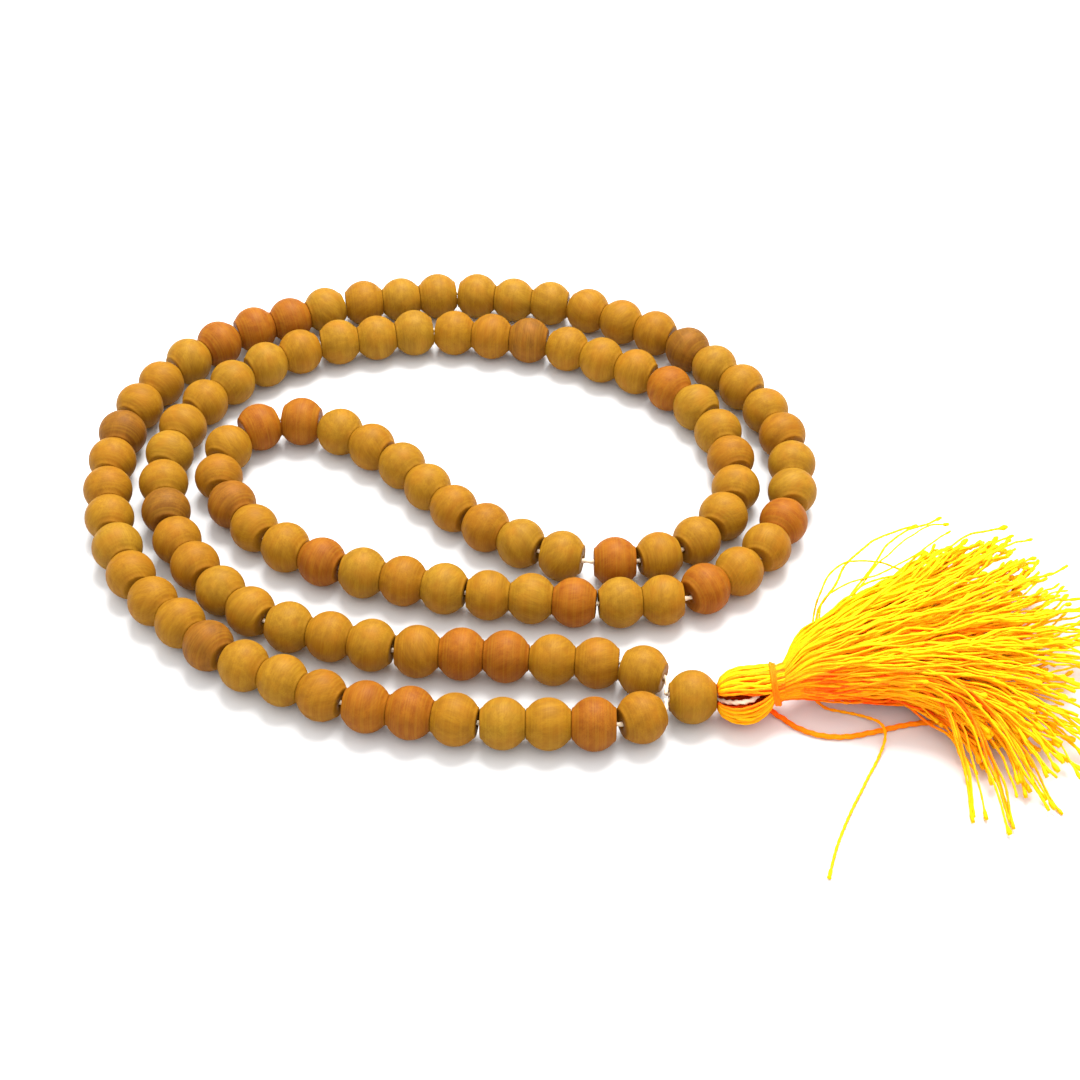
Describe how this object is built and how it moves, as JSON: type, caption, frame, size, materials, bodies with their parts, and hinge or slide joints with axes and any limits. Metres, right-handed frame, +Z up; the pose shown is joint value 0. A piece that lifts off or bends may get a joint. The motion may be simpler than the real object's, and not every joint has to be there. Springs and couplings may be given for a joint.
{
  "type": "mala prayer beads",
  "caption": "Loop of turned wooden prayer beads on one string, lying doubled back on itself, with a guru bead and a yellow thread tassel.",
  "frame": {"origin": "on the table, below the middle of the object without its two loose threads", "axes": "+Z up from the table, +X along the guru bead's bore towards the tassel, +Y away from the side with the guru bead"},
  "size_m": [0.1604, 0.1278, 0.013],
  "materials": {
    "wood_golden": "satin turned wood, golden tan, fine grain",
    "wood_tan": "satin turned wood, tan brown, fine grain",
    "wood_russet": "satin turned wood, orange red, fine grain",
    "string": "cream twisted cotton string",
    "tassel_thread": "bright yellow two-ply thread with golden shadows",
    "binding_thread": "orange thread wound round the tassel's neck"
  },
  "bodies": {
    "string": {"loop_string": "string"},
    "bead_001": {"bead_001": "wood_golden"},
    "beads_002_004": {"beads_002_004": "wood_tan"},
    "beads_005_007": {"beads_005_007": "wood_russet"},
    "beads_008_010": {"beads_008_010": "wood_golden"},
    "beads_011_013": {"beads_011_013": "wood_tan"},
    "beads_014_015": {"beads_014_015": "wood_russet"},
    "beads_016_017": {"beads_016_017": "wood_golden"},
    "beads_018_019": {"beads_018_019": "wood_tan"},
    "beads_020_021": {"beads_020_021": "wood_russet"},
    "beads_022_023": {"beads_022_023": "wood_golden"},
    "beads_024_026": {"beads_024_026": "wood_tan"},
    "beads_027_029": {"beads_027_029": "wood_russet"},
    "beads_030_032": {"beads_030_032": "wood_golden"},
    "beads_033_035": {"beads_033_035": "wood_tan"},
    "beads_036_038": {"beads_036_038": "wood_russet"},
    "beads_039_040": {"beads_039_040": "wood_golden"},
    "beads_041_042": {"beads_041_042": "wood_tan"},
    "beads_043_044": {"beads_043_044": "wood_russet"},
    "beads_045_046": {"beads_045_046": "wood_golden"},
    "beads_047_048": {"beads_047_048": "wood_tan"},
    "beads_049_051": {"beads_049_051": "wood_russet"},
    "beads_052_054": {"beads_052_054": "wood_golden"},
    "beads_055_056": {"beads_055_056": "wood_tan"},
    "beads_057_058": {"beads_057_058": "wood_russet"},
    "bead_059": {"bead_059": "wood_golden"},
    "bead_060": {"bead_060": "wood_tan"},
    "bead_061": {"bead_061": "wood_russet"},
    "bead_062": {"bead_062": "wood_golden"},
    "beads_063_064": {"beads_063_064": "wood_tan"},
    "beads_065_067": {"beads_065_067": "wood_russet"},
    "beads_068_069": {"beads_068_069": "wood_golden"},
    "bead_070": {"bead_070": "wood_tan"},
    "bead_071": {"bead_071": "wood_russet"},
    "bead_072": {"bead_072": "wood_golden"},
    "bead_073": {"bead_073": "wood_tan"},
    "bead_074": {"bead_074": "wood_russet"},
    "bead_075": {"bead_075": "wood_golden"},
    "beads_076_077": {"beads_076_077": "wood_tan"},
    "beads_078_079": {"beads_078_079": "wood_russet"},
    "beads_080_082": {"beads_080_082": "wood_golden"},
    "beads_083_085": {"beads_083_085": "wood_tan"},
    "beads_086_088": {"beads_086_088": "wood_russet"},
    "beads_089_090": {"beads_089_090": "wood_golden"},
    "beads_091_092": {"beads_091_092": "wood_tan"},
    "beads_093_094": {"beads_093_094": "wood_russet"},
    "beads_095_096": {"beads_095_096": "wood_golden"},
    "beads_097_098": {"beads_097_098": "wood_tan"},
    "beads_099_100": {"beads_099_100": "wood_russet"},
    "beads_101_103": {"beads_101_103": "wood_golden"},
    "beads_104_106": {"beads_104_106": "wood_tan"},
    "beads_107_108": {"beads_107_108": "wood_russet"},
    "bead_109": {"bead_109": "wood_golden"},
    "guru_loop": {"string_loop": "string"},
    "guru": {"guru_bead": "wood_golden"},
    "tassel": {"tassel_head": "tassel_thread", "tassel_binding": "binding_thread", "tassel_skirt": "tassel_thread", "binding_tail": "binding_thread", "stray_thread": "tassel_thread"}
  },
  "joints": [
    {"name": "bead_001_spin", "type": "hinge", "parent": "string", "child": "bead_001", "pos_m": [0.00819, -0.04079, 0.004], "axis": [-0.9264, -0.3764, 0], "continuous": true},
    {"name": "beads_002_004_spin", "type": "hinge", "parent": "string", "child": "beads_002_004", "pos_m": [-0.0053, -0.04202, 0.004], "axis": [-0.9999, 0.0148, 0], "continuous": true},
    {"name": "beads_005_007_spin", "type": "hinge", "parent": "string", "child": "beads_005_007", "pos_m": [-0.02527, -0.04001, 0.004], "axis": [-0.9827, 0.1852, 0], "continuous": true},
    {"name": "beads_008_010_spin", "type": "hinge", "parent": "string", "child": "beads_008_010", "pos_m": [-0.04428, -0.03374, 0.004], "axis": [-0.9007, 0.4345, 0], "continuous": true},
    {"name": "beads_011_013_spin", "type": "hinge", "parent": "string", "child": "beads_011_013", "pos_m": [-0.06074, -0.0223, 0.004], "axis": [-0.7214, 0.6925, 0], "continuous": true},
    {"name": "beads_014_015_spin", "type": "hinge", "parent": "string", "child": "beads_014_015", "pos_m": [-0.0711, -0.00917, 0.004], "axis": [-0.4452, 0.8954, 0], "continuous": true},
    {"name": "beads_016_017_spin", "type": "hinge", "parent": "string", "child": "beads_016_017", "pos_m": [-0.0754, 0.00364, 0.004], "axis": [-0.1858, 0.9826, 0], "continuous": true},
    {"name": "beads_018_019_spin", "type": "hinge", "parent": "string", "child": "beads_018_019", "pos_m": [-0.07592, 0.01713, 0.004], "axis": [0.1101, 0.9939, 0], "continuous": true},
    {"name": "beads_020_021_spin", "type": "hinge", "parent": "string", "child": "beads_020_021", "pos_m": [-0.07226, 0.03011, 0.004], "axis": [0.4246, 0.9054, 0], "continuous": true},
    {"name": "beads_022_023_spin", "type": "hinge", "parent": "string", "child": "beads_022_023", "pos_m": [-0.06449, 0.04115, 0.004], "axis": [0.7089, 0.7053, 0], "continuous": true},
    {"name": "beads_024_026_spin", "type": "hinge", "parent": "string", "child": "beads_024_026", "pos_m": [-0.05041, 0.0502, 0.004], "axis": [0.9096, 0.4155, 0], "continuous": true},
    {"name": "beads_027_029_spin", "type": "hinge", "parent": "string", "child": "beads_027_029", "pos_m": [-0.0312, 0.05596, 0.004], "axis": [0.9881, 0.154, 0], "continuous": true},
    {"name": "beads_030_032_spin", "type": "hinge", "parent": "string", "child": "beads_030_032", "pos_m": [-0.01118, 0.05597, 0.004], "axis": [0.9882, -0.1529, 0], "continuous": true},
    {"name": "beads_033_035_spin", "type": "hinge", "parent": "string", "child": "beads_033_035", "pos_m": [0.00779, 0.04962, 0.004], "axis": [0.8812, -0.4727, 0], "continuous": true},
    {"name": "beads_036_038_spin", "type": "hinge", "parent": "string", "child": "beads_036_038", "pos_m": [0.02339, 0.03713, 0.004], "axis": [0.654, -0.7565, 0], "continuous": true},
    {"name": "beads_039_040_spin", "type": "hinge", "parent": "string", "child": "beads_039_040", "pos_m": [0.03241, 0.02302, 0.004], "axis": [0.3469, -0.9379, 0], "continuous": true},
    {"name": "beads_041_042_spin", "type": "hinge", "parent": "string", "child": "beads_041_042", "pos_m": [0.03429, 0.00971, 0.004], "axis": [-0.0719, -0.9974, 0], "continuous": true},
    {"name": "beads_043_044_spin", "type": "hinge", "parent": "string", "child": "beads_043_044", "pos_m": [0.0305, -0.00325, 0.004], "axis": [-0.4766, -0.8791, 0], "continuous": true},
    {"name": "beads_045_046_spin", "type": "hinge", "parent": "string", "child": "beads_045_046", "pos_m": [0.02155, -0.01328, 0.004], "axis": [-0.8194, -0.5732, 0], "continuous": true},
    {"name": "beads_047_048_spin", "type": "hinge", "parent": "string", "child": "beads_047_048", "pos_m": [0.00901, -0.0178, 0.004], "axis": [-0.9968, -0.0803, 0], "continuous": true},
    {"name": "beads_049_051_spin", "type": "hinge", "parent": "string", "child": "beads_049_051", "pos_m": [-0.00782, -0.01722, 0.004], "axis": [-0.9936, 0.1131, 0], "continuous": true},
    {"name": "beads_052_054_spin", "type": "hinge", "parent": "string", "child": "beads_052_054", "pos_m": [-0.0275, -0.0135, 0.004], "axis": [-0.9664, 0.257, 0], "continuous": true},
    {"name": "beads_055_056_spin", "type": "hinge", "parent": "string", "child": "beads_055_056", "pos_m": [-0.04328, -0.00779, 0.004], "axis": [-0.8892, 0.4574, 0], "continuous": true},
    {"name": "beads_057_058_spin", "type": "hinge", "parent": "string", "child": "beads_057_058", "pos_m": [-0.05363, 0.0008, 0.004], "axis": [-0.6153, 0.7883, 0], "continuous": true},
    {"name": "bead_059_spin", "type": "hinge", "parent": "string", "child": "bead_059", "pos_m": [-0.05849, 0.00984, 0.004], "axis": [-0.1649, 0.9863, 0], "continuous": true},
    {"name": "bead_060_spin", "type": "hinge", "parent": "string", "child": "bead_060", "pos_m": [-0.05767, 0.01677, 0.004], "axis": [0.3904, 0.9207, 0], "continuous": true},
    {"name": "bead_061_spin", "type": "hinge", "parent": "string", "child": "bead_061", "pos_m": [-0.05304, 0.02193, 0.004], "axis": [0.8705, 0.4921, 0], "continuous": true},
    {"name": "bead_062_spin", "type": "hinge", "parent": "string", "child": "bead_062", "pos_m": [-0.04618, 0.02326, 0.004], "axis": [0.9915, -0.1302, 0], "continuous": true},
    {"name": "beads_063_064_spin", "type": "hinge", "parent": "string", "child": "beads_063_064", "pos_m": [-0.03685, 0.01893, 0.004], "axis": [0.8269, -0.5623, 0], "continuous": true},
    {"name": "beads_065_067_spin", "type": "hinge", "parent": "string", "child": "beads_065_067", "pos_m": [-0.02461, 0.00758, 0.004], "axis": [0.6596, -0.7516, 0], "continuous": true},
    {"name": "beads_068_069_spin", "type": "hinge", "parent": "string", "child": "beads_068_069", "pos_m": [-0.01225, -0.00358, 0.004], "axis": [0.8447, -0.5352, 0], "continuous": true},
    {"name": "bead_070_spin", "type": "hinge", "parent": "string", "child": "bead_070", "pos_m": [-0.00308, -0.00814, 0.004], "axis": [0.9663, -0.2575, 0], "continuous": true},
    {"name": "bead_071_spin", "type": "hinge", "parent": "string", "child": "bead_071", "pos_m": [0.00515, -0.00932, 0.004], "axis": [0.9997, 0.0261, 0], "continuous": true},
    {"name": "bead_072_spin", "type": "hinge", "parent": "string", "child": "bead_072", "pos_m": [0.01202, -0.0081, 0.004], "axis": [0.9487, 0.316, 0], "continuous": true},
    {"name": "bead_073_spin", "type": "hinge", "parent": "string", "child": "bead_073", "pos_m": [0.01807, -0.00466, 0.004], "axis": [0.7559, 0.6546, 0], "continuous": true},
    {"name": "bead_074_spin", "type": "hinge", "parent": "string", "child": "bead_074", "pos_m": [0.02259, 0.00069, 0.004], "axis": [0.519, 0.8548, 0], "continuous": true},
    {"name": "bead_075_spin", "type": "hinge", "parent": "string", "child": "bead_075", "pos_m": [0.025, 0.00722, 0.004], "axis": [0.1621, 0.9868, 0], "continuous": true},
    {"name": "beads_076_077_spin", "type": "hinge", "parent": "string", "child": "beads_076_077", "pos_m": [0.02381, 0.01744, 0.004], "axis": [-0.2544, 0.9671, 0], "continuous": true},
    {"name": "beads_078_079_spin", "type": "hinge", "parent": "string", "child": "beads_078_079", "pos_m": [0.01757, 0.02934, 0.004], "axis": [-0.6535, 0.757, 0], "continuous": true},
    {"name": "beads_080_082_spin", "type": "hinge", "parent": "string", "child": "beads_080_082", "pos_m": [0.00408, 0.03925, 0.004], "axis": [-0.8857, 0.4642, 0], "continuous": true},
    {"name": "beads_083_085_spin", "type": "hinge", "parent": "string", "child": "beads_083_085", "pos_m": [-0.01493, 0.04559, 0.004], "axis": [-0.9871, 0.1603, 0], "continuous": true},
    {"name": "beads_086_088_spin", "type": "hinge", "parent": "string", "child": "beads_086_088", "pos_m": [-0.03492, 0.04533, 0.004], "axis": [-0.9827, -0.1853, 0], "continuous": true},
    {"name": "beads_089_090_spin", "type": "hinge", "parent": "string", "child": "beads_089_090", "pos_m": [-0.05074, 0.03984, 0.004], "axis": [-0.8508, -0.5254, 0], "continuous": true},
    {"name": "beads_091_092_spin", "type": "hinge", "parent": "string", "child": "beads_091_092", "pos_m": [-0.06079, 0.03083, 0.004], "axis": [-0.6145, -0.7889, 0], "continuous": true},
    {"name": "beads_093_094_spin", "type": "hinge", "parent": "string", "child": "beads_093_094", "pos_m": [-0.06646, 0.01866, 0.004], "axis": [-0.2102, -0.9777, 0], "continuous": true},
    {"name": "beads_095_096_spin", "type": "hinge", "parent": "string", "child": "beads_095_096", "pos_m": [-0.06662, 0.00516, 0.004], "axis": [0.1881, -0.9821, 0], "continuous": true},
    {"name": "beads_097_098_spin", "type": "hinge", "parent": "string", "child": "beads_097_098", "pos_m": [-0.0617, -0.00739, 0.004], "axis": [0.5311, -0.8473, 0], "continuous": true},
    {"name": "beads_099_100_spin", "type": "hinge", "parent": "string", "child": "beads_099_100", "pos_m": [-0.05289, -0.01765, 0.004], "axis": [0.7565, -0.654, 0], "continuous": true},
    {"name": "beads_101_103_spin", "type": "hinge", "parent": "string", "child": "beads_101_103", "pos_m": [-0.03796, -0.02499, 0.004], "axis": [0.9594, -0.282, 0], "continuous": true},
    {"name": "beads_104_106_spin", "type": "hinge", "parent": "string", "child": "beads_104_106", "pos_m": [-0.01816, -0.02862, 0.004], "axis": [0.9972, -0.0749, 0], "continuous": true},
    {"name": "beads_107_108_spin", "type": "hinge", "parent": "string", "child": "beads_107_108", "pos_m": [-0.00128, -0.02999, 0.004], "axis": [0.9959, -0.0905, 0], "continuous": true},
    {"name": "bead_109_spin", "type": "hinge", "parent": "string", "child": "bead_109", "pos_m": [0.00868, -0.03194, 0.004], "axis": [0.9203, -0.3912, 0], "continuous": true},
    {"name": "tassel_lift", "type": "hinge", "parent": "string", "child": "guru_loop", "pos_m": [0.01215, -0.037, 0.004], "axis": [0, -1, 0], "range_deg": [0, 40]},
    {"name": "guru_spin", "type": "hinge", "parent": "guru_loop", "child": "guru", "pos_m": [0.0157, -0.037, 0.004], "axis": [1, 0, 0], "continuous": true},
    {"name": "tassel_swing", "type": "hinge", "parent": "guru_loop", "child": "tassel", "pos_m": [0.02255, -0.037, 0.004], "axis": [0, 0, 1], "range_deg": [-55, 20]}
  ]
}
